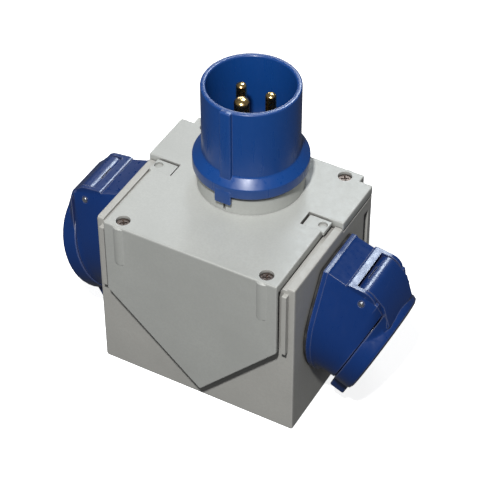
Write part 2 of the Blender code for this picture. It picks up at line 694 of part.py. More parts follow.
def make_contact(across, up, pin):
    """Brass sleeve the plug pin goes into, with a tail for its wire."""
    outer = pin + 0.0007
    bore = pin + 0.0001
    front = CONTACT_FRONT
    back = front - 0.021
    tail = 0.0015
    end = OUTLET_BACK - 0.003
    profile = [(0, end), (tail, end), (tail, back), (outer, back), (outer, front), (bore, front),
               (bore, back + 0.002), (0, back + 0.002)]
    return turned("contact", profile, outlet_point(0, across, up), OUT, PIN_ROUND)


def make_lid():
    """Round sprung lid with a wide knuckle reaching back over the housing."""
    face = LID_RADIUS
    inner = LID_RADIUS - LID_WALL
    profile = [(0, 0), (face - 0.0022, 0), (face - 0.0006, -0.0007), (face, -0.0022),
               (face, -LID_DEPTH + 0.0003), (face - 0.0003, -LID_DEPTH), (inner, -LID_DEPTH),
               (inner, -LID_SKIN), (0, -LID_SKIN)]
    lid = turned("lid", profile, LID_CENTRE, OUT, OUTLET_ROUND)
    # squared chin below the disc, to lift the lid by
    chin = [(-0.0165, -LID_RADIUS * 0.55), (-0.0155, -face - 0.0015), (-0.0125, -face - 0.0053),
            (0.0125, -face - 0.0053), (0.0155, -face - 0.0015), (0.0165, -LID_RADIUS * 0.55)]
    tab = prism("chin", chin, -LID_DEPTH + 0.0006, -0.0011, lambda a, b, level: outlet_point(level, a, b))
    soften(tab, 0.0007)
    add(lid, tab)
    # shoulders that widen the disc up to the arm
    shoulder_rings = [front_ring(-LID_DEPTH + 0.0004, face - 0.0006, HINGE_UP + 0.0001),
                      front_ring(-0.0060, face - 0.0006, LID_RADIUS + 0.0018),
                      front_ring(-0.0030, face - 0.0010, LID_RADIUS - 0.0019)]
    add(lid, skin_rings("shoulders", shoulder_rings))
    arm = []
    for degrees in range(270, 60, -15):
        turn = math.radians(degrees)
        arm.append((HINGE_OUT + KNUCKLE * math.cos(turn), HINGE_UP + KNUCKLE * math.sin(turn)))
    arm += [(-0.0105, HINGE_UP + 0.0028), (-0.0035, LID_RADIUS - 0.0006), (-0.0035, LID_RADIUS - 0.002)]
    arm += [(-LID_DEPTH + 0.0005, HINGE_UP - KNUCKLE)]
    arm = outlet_prism("arm", arm, KNUCKLE_HALF)
    # spring room, open towards the housing
    half = SPRING_ROOM
    room = [(HINGE_OUT - half, HINGE_UP - OVER), (HINGE_OUT - half, HINGE_UP + half),
            (HINGE_OUT + half, HINGE_UP + half), (HINGE_OUT + half, HINGE_UP - OVER)]
    cut(arm, outlet_prism("room", room, half))
    cut(arm, hinge_pin_hole(0.0002))
    add(lid, arm)
    # the seal ring and the plug opening stay clear of the arm and the chin
    clear = rod("clear", outlet_point(-LID_DEPTH - OVER, 0, 0), outlet_point(-LID_SKIN - FIT, 0, 0),
                inner - 0.0002, OUTLET_ROUND)
    cut(lid, clear)
    return lid


def make_lid_seal():
    """Soft ring inside the lid that meets the rim of the housing."""
    outer = LID_RADIUS - LID_WALL - 2 * FIT
    inner = outer - 0.0026
    front = -LID_SKIN - FIT
    back = -LID_DEPTH + 0.0002
    profile = [(inner, front), (outer, front), (outer, back), (inner, back)]
    return turned("seal", profile, LID_CENTRE, OUT)


def make_hinge_pin():
    """Steel pin through the ears and the knuckle."""
    half = HINGE_PIN_HALF
    tip = HINGE_PIN - 0.0003
    profile = [(0, -half), (tip, -half), (HINGE_PIN, -half + 0.0003), (HINGE_PIN, half - 0.0003),
               (tip, half), (0, half)]
    return turned("pin", profile, hinge_place(), ACROSS, SMALL_ROUND)


def make_spring():
    """Torsion spring wound round the pin inside the knuckle."""
    wire = 0.00045
    coil = 0.0026
    turns = 4
    steps = 10
    length = 0.0064
    centres = []
    for i in range(turns * steps + 1):
        turn = math.tau * i / steps
        along = length * (i / (turns * steps) - 0.5)
        offset = OUT * (coil * math.cos(turn)) + UP * (coil * math.sin(turn)) + ACROSS * along
        centres.append(hinge_place() + offset)
    return tube_along("spring", centres, wire, 6)


def tube_along(name, centres, radius, count):
    """Round tube through a list of points."""
    rings = []
    normal = None
    for i, point in enumerate(centres):
        before = centres[max(i - 1, 0)]
        after = centres[min(i + 1, len(centres) - 1)]
        ahead = (after - before).normalized()
        if normal is None:
            normal = ahead.orthogonal().normalized()
        normal = (normal - ahead * normal.dot(ahead)).normalized()
        rings.append(ring_points(point, normal, ahead.cross(normal), radius, count))
    return skin_rings(name, rings)


def make_outlet_screw():
    """Screw from inside the box into the outlet base."""
    seat = HALF_W - SIDE_WALL
    profile = [(0, seat - 0.0022), (0.002, seat - 0.0022), (0.0025, seat - 0.0017), (0.0025, seat - FIT),
               (SCREW_NECK, seat - FIT), (SCREW_NECK, BASE_X + 0.0045), (0.0006, BASE_X + 0.006),
               (0, BASE_X + 0.006)]
    return turned("screw", profile, (0, 0, OUTLET_SCREW_Z), (1, 0, 0), SMALL_ROUND)


def place_outlet(pieces):
    """Put each piece on the right side and a copy, turned half round, on the left."""
    hinge = hinge_place()
    for label, piece, finish, moves in pieces:
        dress(piece, "outlet_right_" + label, finish)
        origin = hinge if moves else Vector((0, 0, 0))
        piece.data.transform(Matrix.Translation(-origin))
        piece.location = origin
        twin = bpy.data.objects.new("outlet_left_" + label, piece.data)
        twin.location = Matrix.Rotation(math.pi, 4, "Z") @ origin
        twin.rotation_euler.z = math.pi
        bpy.context.collection.objects.link(twin)


# ---------------------------------------------------------------- the wires
WIRE = 0.0011


def smooth_path(points, steps=3):
    """A rounded path through a few points."""
    knots = [points[0]] + list(points) + [points[-1]]
    path = []
    for i in range(1, len(knots) - 2):
        a, b, c, d = knots[i - 1], knots[i], knots[i + 1], knots[i + 2]
        for k in range(steps):
            t = k / steps
            path.append(0.5 * (2 * b + (c - a) * t + (2 * a - 5 * b + 4 * c - d) * t * t
                               + (3 * b - a - 3 * c + d) * t * t * t))
    path.append(points[-1])
    return path


def make_wires(finishes):
    """Two insulated wires under each inlet pin, one to each outlet."""
    tail = OUTLET_BACK - 0.003 - FIT
    drop = {"earth": 0.012, "line": 0.006, "neutral": 0.009}
    for side_name, side in (("right", 1), ("left", -1)):
        turn = Matrix.Rotation(0 if side > 0 else math.pi, 4, "Z")
        for label, across, up, pin in contact_places():
            start = Vector((across + side * 0.0014, INLET_OFFSET + up, INLET_TAIL - 2 * FIT))
            end = turn @ outlet_point(tail, across, up)
            away = turn @ outlet_point(tail - 0.010, across, up)
            lead = turn @ outlet_point(tail - 0.004, across, up)
            low = start + Vector((side * 0.003, 0, -drop[label]))
            bend = (low + away) / 2
            below = start + Vector((0, 0, -0.0025))
            middle = [low, bend]
            crosses = (label == "line" and side < 0) or (label == "neutral" and side > 0)
            if crosses:
                # these two run below the rest, one under the other
                depth = 0.036 if side > 0 else 0.030
                low = start + Vector((0, 0, -0.020))
                corner = Vector((-side * 0.002, INLET_OFFSET, start.z - depth))
                far = Vector((side * 0.008, -0.003, start.z - depth))
                middle = [low, corner, far]
            path = smooth_path([start, below] + middle + [away, lead, end])
            wire = tube_along("wire", path, WIRE, 6)
            dress(wire, "wire_" + side_name + "_" + label, finishes[label])


# ---------------------------------------------------------------- build
def build():
    clear_file()
    grey = material("grey_plastic", (0.42, 0.43, 0.41), 0.5)
    cover_grey = material("cover_grey_plastic", (0.47, 0.48, 0.46), 0.45)
    blue = material("blue_plastic", (0.008, 0.05, 0.27), 0.3)
    navy = material("navy_insulator", (0.006, 0.018, 0.07), 0.5)
    brass = material("brass", (0.74, 0.55, 0.24), 0.25, 1.0)
    steel = material("zinc_plated_steel", (0.55, 0.55, 0.56), 0.35, 1.0)
    rubber = material("black_rubber", (0.015, 0.015, 0.016), 0.8)
    wire_finish = {"earth": material("green_wire", (0.09, 0.35, 0.04), 0.5),
                   "line": material("brown_wire", (0.15, 0.05, 0.02), 0.5),
                   "neutral": material("light_blue_wire", (0.04, 0.2, 0.5), 0.5)}
    make_body(grey)
    make_cover(cover_grey)
    make_cover_gasket(rubber)
    make_cover_screws(steel)
    make_catches(cover_grey)
    make_shroud(blue)
    make_inlet_gasket(rubber)
    make_inlet_carrier(navy)
    make_inlet_pins(brass)
    make_inlet_screws(steel)
    pieces = [("housing", make_outlet_housing(), blue, False),
              ("gasket", make_outlet_gasket(), rubber, False),
              ("contact_carrier", make_contact_carrier(), navy, False)]
    for label, across, up, pin in contact_places():
        pieces.append(("contact_" + label, make_contact(across, up, pin), brass, False))
    pieces += [("lid", make_lid(), blue, True), ("lid_seal", make_lid_seal(), rubber, True),
               ("hinge_pin", make_hinge_pin(), steel, False), ("hinge_spring", make_spring(), steel, False)]
    for name, across in (("front", -OUTLET_SCREW_ACROSS), ("back", OUTLET_SCREW_ACROSS)):
        screw = make_outlet_screw()
        screw.data.transform(Matrix.Translation((0, across, 0)))
        pieces.append(("screw_" + name, screw, steel, False))
    place_outlet(pieces)
    make_wires(wire_finish)


build()
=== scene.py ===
# %% [markdown]
# # A portable power distribution box
# This lesson finishes a small site-power box in Blender: a grey moulded case with a round blue plug inlet
# standing on its cover, and a blue outlet with a sprung lid slanting out of each side.
# The measured model is loaded first as a fixed frame. Every piece made below takes its place from that
# frame, so nothing has to be fitted by eye. All lengths are in metres, +Z is up and +X is to the right.

# %% Load the frame
import json
import math

import bmesh
import bpy
from mathutils import Matrix, Vector


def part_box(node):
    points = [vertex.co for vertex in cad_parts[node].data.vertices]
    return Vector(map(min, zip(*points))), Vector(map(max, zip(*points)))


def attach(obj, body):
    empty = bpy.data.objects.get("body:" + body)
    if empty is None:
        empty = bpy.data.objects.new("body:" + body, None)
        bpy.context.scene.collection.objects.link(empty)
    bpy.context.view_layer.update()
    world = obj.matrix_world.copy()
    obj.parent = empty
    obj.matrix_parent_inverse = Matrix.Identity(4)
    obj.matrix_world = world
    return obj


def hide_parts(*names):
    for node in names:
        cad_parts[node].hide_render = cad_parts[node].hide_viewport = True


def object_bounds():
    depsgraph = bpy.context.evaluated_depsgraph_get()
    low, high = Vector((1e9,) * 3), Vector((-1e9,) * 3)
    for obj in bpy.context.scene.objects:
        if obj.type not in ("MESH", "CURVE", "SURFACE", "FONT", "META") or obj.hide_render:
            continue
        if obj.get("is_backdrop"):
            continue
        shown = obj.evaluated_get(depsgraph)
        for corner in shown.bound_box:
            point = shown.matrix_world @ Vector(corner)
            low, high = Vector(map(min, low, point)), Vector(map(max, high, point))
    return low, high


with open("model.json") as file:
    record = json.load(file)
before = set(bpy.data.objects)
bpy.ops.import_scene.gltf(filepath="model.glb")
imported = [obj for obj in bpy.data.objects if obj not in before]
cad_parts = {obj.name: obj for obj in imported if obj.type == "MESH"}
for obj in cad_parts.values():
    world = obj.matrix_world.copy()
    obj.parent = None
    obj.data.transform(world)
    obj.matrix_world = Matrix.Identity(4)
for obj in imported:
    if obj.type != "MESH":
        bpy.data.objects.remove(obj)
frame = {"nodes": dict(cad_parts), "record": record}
nodes = frame["nodes"]
model_low, model_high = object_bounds()
print("frame size in mm:", [round(1000 * side, 1) for side in (model_high - model_low)])

# %% [markdown]
# ## The view
# The box is seen from the front right and from well above, as if it stood on a low table.
# A long lens keeps its upright edges nearly parallel. The camera's place is built from its turn round the
# box, its tilt and its distance, because those three numbers are easier to reason about than a location.

# %% Camera
VIEW_TURN = math.radians(28.942)
VIEW_TILT = math.radians(42.894)
VIEW_DISTANCE = 0.903576
VIEW_LENS = 135.8            # mm, on a sensor 36 mm wide
AIM_RIGHT = 0.006439         # the lens axis passes this far right of the frame's origin
AIM_UP = 0.043628            # and this far above it, across the view

back = Vector((math.sin(VIEW_TURN) * math.cos(VIEW_TILT), -math.cos(VIEW_TURN) * math.cos(VIEW_TILT),
               math.sin(VIEW_TILT)))
right = Vector((math.cos(VIEW_TURN), math.sin(VIEW_TURN), 0))
above = back.cross(right)
camera = bpy.data.objects.new("camera", bpy.data.cameras.new("camera"))
camera.location = right * AIM_RIGHT + above * AIM_UP + back * VIEW_DISTANCE
camera.rotation_euler = Matrix((right, above, back)).transposed().to_euler()
camera.data.lens = VIEW_LENS
camera.data.sensor_width = 36
camera.data.clip_end = 20
bpy.context.collection.objects.link(camera)
bpy.context.scene.camera = camera
print("camera stands", round(camera.location.length, 3), "m from the origin")

# %% [markdown]
# ## Light and floor
# One small lamp, high in front and a little to the right, does most of the work. It lights the top most, the
# front less and the right wall least. It also throws the crisp dark line along the cover's sloping left edge
# and the wider, softer one along its right edge. A second lamp behind is seen only in glossy surfaces: it
# draws the pale blue bands on top of the hinges. A weak third one keeps the back from going black.
# The floor is a plain pale sheet that gives off some light itself, which keeps the shadow on it faint. It is
# hidden from diffuse and glossy rays, so its whiteness doesn't wash out the dark side or the blue plastic.

# %% Lamps, world and floor
def soft_lamp(name, place, target, size, watts, tint=(1, 1, 1)):
    """A square lamp at a place, facing a target."""
    light = bpy.data.lights.new(name, "AREA")
    light.size = size
    light.energy = watts
    light.color = tint
    lamp = bpy.data.objects.new(name, light)
    lamp.location = place
    lamp.rotation_euler = (Vector(target) - Vector(place)).to_track_quat("-Z", "Y").to_euler()
    bpy.context.collection.objects.link(lamp)
    return lamp


middle = (model_low + model_high) / 2
soft_lamp("key_lamp", (0.24, -0.73, 1.28), middle, 0.10, 23.5)
sheen = soft_lamp("sheen_lamp", (-0.21, 0.83, 0.98), middle, 0.3, 7, (0.85, 0.94, 1))
sheen.visible_diffuse = False
soft_lamp("back_lamp", (-0.7, 1.1, 0.35), middle, 0.5, 5)

world = bpy.data.worlds.new("studio")
bpy.context.scene.world = world
world.use_nodes = True
world.node_tree.nodes["Background"].inputs["Color"].default_value = (0.95, 0.97, 1, 1)
world.node_tree.nodes["Background"].inputs["Strength"].default_value = 0.11
bpy.context.scene.view_settings.view_transform = "Standard"

FLOOR_REACH = 4.0
floor_mesh = bpy.data.meshes.new("floor")
corners = [(-1, -1), (1, -1), (1, 1), (-1, 1)]
floor_mesh.from_pydata([(x * FLOOR_REACH, y * FLOOR_REACH, 0) for x, y in corners], [], [(0, 1, 2, 3)])
floor = bpy.data.objects.new("floor", floor_mesh)
bpy.context.collection.objects.link(floor)
floor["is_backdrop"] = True
floor.visible_diffuse = False
floor.visible_glossy = False
floor_finish = bpy.data.materials.new("pale_floor")
floor_finish.use_nodes = True
floor_shader = floor_finish.node_tree.nodes["Principled BSDF"]
floor_shader.inputs["Base Color"].default_value = (0.86, 0.86, 0.86, 1)
floor_shader.inputs["Roughness"].default_value = 0.9
floor_shader.inputs["Specular IOR Level"].default_value = 0.1
floor_shader.inputs["Emission Color"].default_value = (1, 1, 1, 1)
floor_shader.inputs["Emission Strength"].default_value = 0.85
floor_mesh.materials.append(floor_finish)

# %% [markdown]
# ## Tools for the finishes
# A finish is a small network of shader nodes. These helpers keep each network short to write: one makes a
# node, one makes cloudy noise at a size given in millimetres, one spreads a value between two limits, and
# one mixes two colours. Every pattern is read in object coordinates, so it stays on the piece when a lid
# opens.

# %% Shader helpers
def shade(tree, kind, sockets=(), **settings):
    """A shader node; each socket gets a number, a colour or a link."""
    made = tree.nodes.new("ShaderNode" + kind)
    for name, value in settings.items():
        setattr(made, name, value)
    for key, value in sockets:
        if isinstance(value, bpy.types.NodeSocket):
            tree.links.new(value, made.inputs[key])
        else:
            made.inputs[key].default_value = value
    return made


def clouds(tree, place, size_mm, detail=3.0):
    """Noise whose patches are about this many millimetres across."""
    sockets = [("Vector", place), ("Scale", 1000 / size_mm), ("Detail", detail)]
    return shade(tree, "TexNoise", sockets).outputs["Fac"]


def spread(tree, value, low, high, to_low, to_high):
    """Stretch a value between two limits and keep it inside them."""
    sockets = [("Value", value), ("From Min", low), ("From Max", high),
               ("To Min", to_low), ("To Max", to_high)]
    return shade(tree, "MapRange", sockets).outputs["Result"]


def mix(tree, amount, first, second):
    """Mix two colours."""
    made = shade(tree, "Mix", data_type="RGBA")
    for index, value in ((0, amount), (6, first), (7, second)):
        if isinstance(value, bpy.types.NodeSocket):
            tree.links.new(value, made.inputs[index])
        else:
            made.inputs[index].default_value = value
    return made.outputs[2]


def new_finish(name):
    """An empty finish, its shader and its object coordinates."""
    finish = bpy.data.materials.new(name)
    finish.use_nodes = True
    tree = finish.node_tree
    place = shade(tree, "TexCoord").outputs["Object"]
    return finish, tree, tree.nodes["Principled BSDF"], place


def scaled(colour, factor):
    """A colour made lighter or darker, with full alpha."""
    return (*[min(1, part * factor) for part in colour], 1)


def surface_relief(tree, shader, layers, edge_radius):
    """Bump layers of (height, depth in metres, strength) on top of softly rounded edges."""
    normal = shade(tree, "Bevel", [("Radius", edge_radius)], samples=4).outputs["Normal"]
    for height, depth, strength in layers:
        sockets = [("Height", height), ("Distance", depth), ("Strength", strength), ("Normal", normal)]
        normal = shade(tree, "Bump", sockets).outputs["Normal"]
    tree.links.new(normal, shader.inputs["Normal"])


print("shader helpers ready")

# %% [markdown]
# ## Moulded plastic
# The case is a filled grey plastic with a faint mottle and a fine spark-eroded grain. Its corners and grooves
# are darkened with painted shade where ambient occlusion finds them. Its edges are painted paler, partly as rub
# wear and partly as a painted highlight. The edges are where a Bevel node's eased normal differs from the true
# one, so both follow the shape without an image mask.
# The blue pieces are a harder, glossier plastic with a clear skin, so they get a little coat, fine wiping
# marks and hardly any grain. One function serves both, because only its numbers differ.

# %% Plastic finishes
# Painted shade: the colour that corners and grooves are darkened towards.
CORNER_SHADE_COLOUR = (0.055, 0.04, 0.035)
SHADE_REACH = 0.003           # how far from a corner the painted shade reaches
PALE_EDGE_REACH = 0.0007           # how far from an edge it turns pale, as wear and as a painted highlight


def moulded_plastic(name, colour, roughness, mottle, grain_mm, grain_depth, corner_shade, wear_and_highlight, coat):
    """Plastic with mottle, moulded grain, painted shade in its corners, and edges painted paler as wear and
    highlight.
    """
    finish, tree, shader, place = new_finish(name)
    patches = spread(tree, clouds(tree, place, 26), 0.3, 0.7, 0, 1)
    body = mix(tree, patches, scaled(colour, 1 - mottle), scaled(colour, 1 + mottle))
    flecks = spread(tree, clouds(tree, place, 0.9, 2), 0.35, 0.65, 0, 1)
    body = mix(tree, flecks, body, mix(tree, 0.5, body, scaled(colour, 1 - 2 * mottle)))
    # Painted shade: where ambient occlusion is low, in corners and grooves, the colour is darkened, with a
    # patchy edge.
    corner_occlusion = shade(tree, "AmbientOcclusion", [("Distance", SHADE_REACH)], samples=6).outputs["AO"]
    shade_start = spread(tree, clouds(tree, place, 3), 0.3, 0.7, 0.05, 0.25)
    painted_shade = shade(tree, "MapRange", [("Value", corner_occlusion), ("From Min", shade_start), ("From Max", 0.62),
                                    ("To Min", corner_shade), ("To Max", 0)]).outputs["Result"]
    body = mix(tree, painted_shade, body, scaled(CORNER_SHADE_COLOUR, 1))
    # Wear and painted highlight: edges turn paler where the eased normal parts from the true one.
    flat = shade(tree, "NewGeometry").outputs["Normal"]
    eased = shade(tree, "Bevel", [("Radius", PALE_EDGE_REACH)], samples=4).outputs["Normal"]
    likeness = shade(tree, "VectorMath", [(0, flat), (1, eased)], operation="DOT_PRODUCT").outputs["Value"]
    worn_and_highlit = spread(tree, likeness, 0.995, 0.92, 0, wear_and_highlight)
    body = mix(tree, worn_and_highlit, body, scaled(mixed_with_white(colour), 1))
    tree.links.new(body, shader.inputs["Base Color"])
    marks = shade(tree, "Mapping", [("Vector", place), ("Scale", (1, 1, 0.12)),
                                    ("Rotation", (0.4, 0.3, 0.2))])
    streaks = clouds(tree, marks.outputs["Vector"], 2.5, 4)
    wiped = spread(tree, streaks, 0.3, 0.7, roughness - 0.05, roughness + 0.08)
    tree.links.new(wiped, shader.inputs["Roughness"])
    shader.inputs["Coat Weight"].default_value = coat
    shader.inputs["Coat Roughness"].default_value = 0.08
    grain = clouds(tree, place, grain_mm, 2)
    ripple = clouds(tree, place, 14, 1)
    surface_relief(tree, shader, [(ripple, 0.0006, 0.25), (grain, grain_depth, 0.5)], 0.00035)
    return finish


def mixed_with_white(colour):
    """The paler colour of an edge: partly rub wear, partly a painted highlight."""
    return [part * 0.6 + 0.5 * max(colour) ** 0.5 for part in colour]


finishes = {}
# slot: name, colour, roughness, mottle, grain in mm, grain depth, painted corner shade, edge wear and painted
# highlight, coat
plastics = {
    "grey_plastic": ("worn_grey_plastic", (0.46, 0.455, 0.425), 0.5, 0.05, 0.5, 0.00006, 0.9, 0.35, 0),
    "cover_grey_plastic": ("pale_grey_plastic", (0.455, 0.465, 0.44), 0.42, 0.05, 0.5, 0.00005, 0.9, 0.35, 0),
    # Painted shade and light: the outlets and the shroud are one blue plastic given as two copies. The darker
    # copy on the outlets stands in for shade, and the lighter one on the shroud is the lit copy.
    "blue_plastic": ("shaded_blue_plastic", (0.004, 0.030, 0.150), 0.3, 0.04, 1.2, 0.00001, 0.5, 0.45, 0.1),
    "lit_shroud_blue": ("lit_blue_plastic", (0.006, 0.055, 0.240), 0.3, 0.04, 1.2, 0.00001, 0.5, 0.2, 0.1),
    "navy_insulator": ("navy_insulator", (0.02, 0.03, 0.10), 0.45, 0.08, 0.7, 0.00004, 0.6, 0.1, 0),
}
for slot_name, numbers in plastics.items():
    finishes[slot_name] = moulded_plastic(*numbers)
print("plastics:", sorted(finishes))

# %% [markdown]
# ## Metal, rubber and wire
# The contact pins are bright brass with a slight tarnish. The screws and the hinge pins are zinc plated. The
# screws look like dull steel with a crystalline patchiness, and the hinge pins get a brighter rubbed steel.
# Seals are matt black rubber and the wires inside have smooth coloured insulation.

# %% Metal, rubber and wire finishes
def plated_metal(name, colour, tarnish, roughness, patch_mm):
    """Metal with darker patches and fine uneven polish."""
    finish, tree, shader, place = new_finish(name)
    patches = spread(tree, clouds(tree, place, patch_mm, 4), 0.4, 0.75, 0, 0.7)
    tree.links.new(mix(tree, patches, scaled(colour, 1), scaled(tarnish, 1)), shader.inputs["Base Color"])
    polish = spread(tree, clouds(tree, place, patch_mm / 4, 3), 0.3, 0.7, roughness - 0.07, roughness + 0.12)
    tree.links.new(polish, shader.inputs["Roughness"])
    shader.inputs["Metallic"].default_value = 1
    surface_relief(tree, shader, [(clouds(tree, place, patch_mm / 6, 2), 0.00002, 0.35)], 0.00012)
    return finish


def soft_material(name, colour, roughness, bloom):
    """Rubber or wire insulation with a dusty bloom."""
    finish, tree, shader, place = new_finish(name)
    dust = spread(tree, clouds(tree, place, 4, 4), 0.4, 0.8, 0, bloom)
    tree.links.new(mix(tree, dust, scaled(colour, 1), (0.35, 0.34, 0.32, 1)), shader.inputs["Base Color"])
    tree.links.new(spread(tree, dust, 0, 1, roughness, 0.9), shader.inputs["Roughness"])
    surface_relief(tree, shader, [(clouds(tree, place, 0.6, 2), 0.00004, 0.4)], 0.0002)
    return finish


finishes["brass"] = plated_metal("bright_brass", (0.87, 0.62, 0.26), (0.45, 0.27, 0.1), 0.22, 2.5)
finishes["zinc_plated_steel"] = plated_metal("zinc_plate", (0.20, 0.16, 0.14), (0.05, 0.035, 0.03), 0.45, 1.2)
finishes["pin_steel"] = plated_metal("rubbed_steel", (0.75, 0.78, 0.82), (0.45, 0.47, 0.5), 0.3, 1.2)
finishes["black_rubber"] = soft_material("seal_rubber", (0.014, 0.014, 0.015), 0.7, 0.12)
finishes["green_wire"] = soft_material("green_insulation", (0.07, 0.33, 0.03), 0.4, 0.05)
finishes["brown_wire"] = soft_material("brown_insulation", (0.15, 0.05, 0.02), 0.4, 0.05)
finishes["light_blue_wire"] = soft_material("light_blue_insulation", (0.05, 0.22, 0.52), 0.4, 0.05)
slot_of = {part["node"]: part["material_slot"] for part in frame["record"]["subparts"]}
for name, node in nodes.items():
    for place in node.material_slots:
        place.material = finishes[slot_of[name]]
print("finishes:", len(finishes), "on", len(nodes), "nodes")

# %% [markdown]
# ## Smooth shells
# A measured node comes in as loose flat triangles, which would show as facets on every round wall. A smooth
# shell is a copy with its points merged, its flat areas joined up again and its gentle edges shaded
# smoothly, while the sharp ones stay sharp. The copy stands for the node, which stays hidden underneath.

# %% Smooth shells for the moulded pieces
CREASE = math.radians(33)
body_of = {name: body for body, names in frame["record"]["behaviour"]["bodies"].items() for name in names}


def settle(piece, node_names):
    """Let a finished piece ride on its body and stand for its nodes."""
    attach(piece, body_of[node_names[0]])
    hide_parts(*node_names)
    return piece


def smooth_shell(node_name, piece_name):
    """A merged, smoothly shaded copy of a node."""
    bm = bmesh.new()
    bm.from_mesh(nodes[node_name].data)
    bmesh.ops.remove_doubles(bm, verts=bm.verts, dist=2e-6)
    bmesh.ops.dissolve_limit(bm, angle_limit=math.radians(0.3), verts=bm.verts, edges=bm.edges)
    mesh = bpy.data.meshes.new(piece_name)
    bm.to_mesh(mesh)
    bm.free()
    normals = mesh.attributes.get("custom_normal")
    if normals:
        mesh.attributes.remove(normals)
    mesh.materials.clear()
    mesh.materials.append(finishes[slot_of[node_name]])
    for face in mesh.polygons:
        face.use_smooth = True
        face.material_index = 0
    mesh.set_sharp_from_angle(angle=CREASE)
    piece = bpy.data.objects.new(piece_name, mesh)
    bpy.context.collection.objects.link(piece)
    lean = piece.modifiers.new("lean_to_large_faces", "WEIGHTED_NORMAL")
    lean.keep_sharp = True
    lean.weight = 100
    graph = bpy.context.evaluated_depsgraph_get()
    piece.data = bpy.data.meshes.new_from_object(piece.evaluated_get(graph))
    piece.modifiers.clear()
    return settle(piece, [node_name])


shells = {"box_body": "grey_case", "box_cover": "pale_cover", "inlet_gasket": "inlet_seal",
          "inlet_pin_carrier": "inlet_insulator", "cover_catch_left": "catch_left",
          "cover_catch_right": "catch_right"}
for side in ("left", "right"):
    for part in ("housing", "lid", "lid_seal", "gasket", "contact_carrier", "contact_earth", "contact_line",
                 "contact_neutral"):
        shells["outlet_" + side + "_" + part] = side + "_" + part + "_shell"
for node_name, piece_name in shells.items():
    smooth_shell(node_name, piece_name)
print("smooth shells:", len(shells))

# %% [markdown]
# ## Geometry nodes helpers
# Round and repeated pieces follow a rule, so a node tree can make them: a size is changed in one named
# input and the whole piece follows. These helpers make a tree with its inputs, make a node in it, and turn
# the result into a plain mesh.

# %% Geometry nodes helpers
def new_tree(name, sizes):
    """A tree with a Geometry input, a Material input and named sizes."""
    tree = bpy.data.node_groups.new(name, "GeometryNodeTree")
    tree.interface.new_socket("Geometry", in_out="INPUT", socket_type="NodeSocketGeometry")
    tree.interface.new_socket("Geometry", in_out="OUTPUT", socket_type="NodeSocketGeometry")
    for label, value in sizes.items():
        kind = "NodeSocketInt" if isinstance(value, int) else "NodeSocketFloat"
        socket = tree.interface.new_socket(label, in_out="INPUT", socket_type=kind)
        socket.default_value = value
    tree.interface.new_socket("Material", in_out="INPUT", socket_type="NodeSocketMaterial")
    return tree, tree.nodes.new("NodeGroupInput").outputs


def geo(tree, kind, sockets=(), **settings):
    """A geometry node; each socket gets a value or a link."""
    made = tree.nodes.new(kind)
    for name, value in settings.items():
        setattr(made, name, value)
    for key, value in sockets:
        if isinstance(value, bpy.types.NodeSocket):
            tree.links.new(value, made.inputs[key])
        else:
            made.inputs[key].default_value = value
    return made


def math_node(tree, operation, first, second):
    """One sum, as a geometry node."""
    return geo(tree, "ShaderNodeMath", [(0, first), (1, second)], operation=operation).outputs[0]


def end_tree(tree, shape, inputs):
    """Realise the copies, smooth them, set their material and send them out."""
    whole = geo(tree, "GeometryNodeRealizeInstances", [("Geometry", shape)]).outputs["Geometry"]
    smooth = geo(tree, "GeometryNodeSetShadeSmooth", [("Geometry", whole)]).outputs["Geometry"]
    dressed = geo(tree, "GeometryNodeSetMaterial", [("Geometry", smooth), ("Material", inputs["Material"])])
    geo(tree, "NodeGroupOutput", [("Geometry", dressed.outputs["Geometry"])])


def make_with(tree, name, points, edges, sizes, finish):
    """Run a tree on a start mesh and keep the result as a plain mesh."""
    start = bpy.data.meshes.new(name)
    start.from_pydata(points, edges, [])
    piece = bpy.data.objects.new(name, start)
    bpy.context.collection.objects.link(piece)
    step = piece.modifiers.new(name, "NODES")
    step.node_group = tree
    for socket in tree.interface.items_tree:
        if socket.in_out == "INPUT" and socket.name in sizes:
            step[socket.identifier] = sizes[socket.name]
        if socket.in_out == "INPUT" and socket.name == "Material":
            step[socket.identifier] = finish
    graph = bpy.context.evaluated_depsgraph_get()
    mesh = bpy.data.meshes.new_from_object(piece.evaluated_get(graph))
    piece.modifiers.clear()
    piece.data = mesh
    bm = bmesh.new()
    bm.from_mesh(mesh)
    bmesh.ops.remove_doubles(bm, verts=bm.verts, dist=1e-6)
    bmesh.ops.recalc_face_normals(bm, faces=bm.faces)
    bm.to_mesh(mesh)
    bm.free()
    mesh.set_sharp_from_angle(angle=CREASE)
    return piece


print("geometry nodes helpers ready")

# %% [markdown]
# ## A tree for turned pieces
# The shroud of the inlet, its pins and the hinge pins are all turned shapes: one outline swept round an
# axis. The tree takes the outline as a chain of edges, drawn as radius and height. It rounds every corner
# with Fillet Curve and carries the outline round a tiny circle with Curve to Mesh. The outline is moved in
# by the circle's radius first, so its size stays true.

# %% The turning tree
HUB = 0.0005                 # radius of the circle the outline is carried round

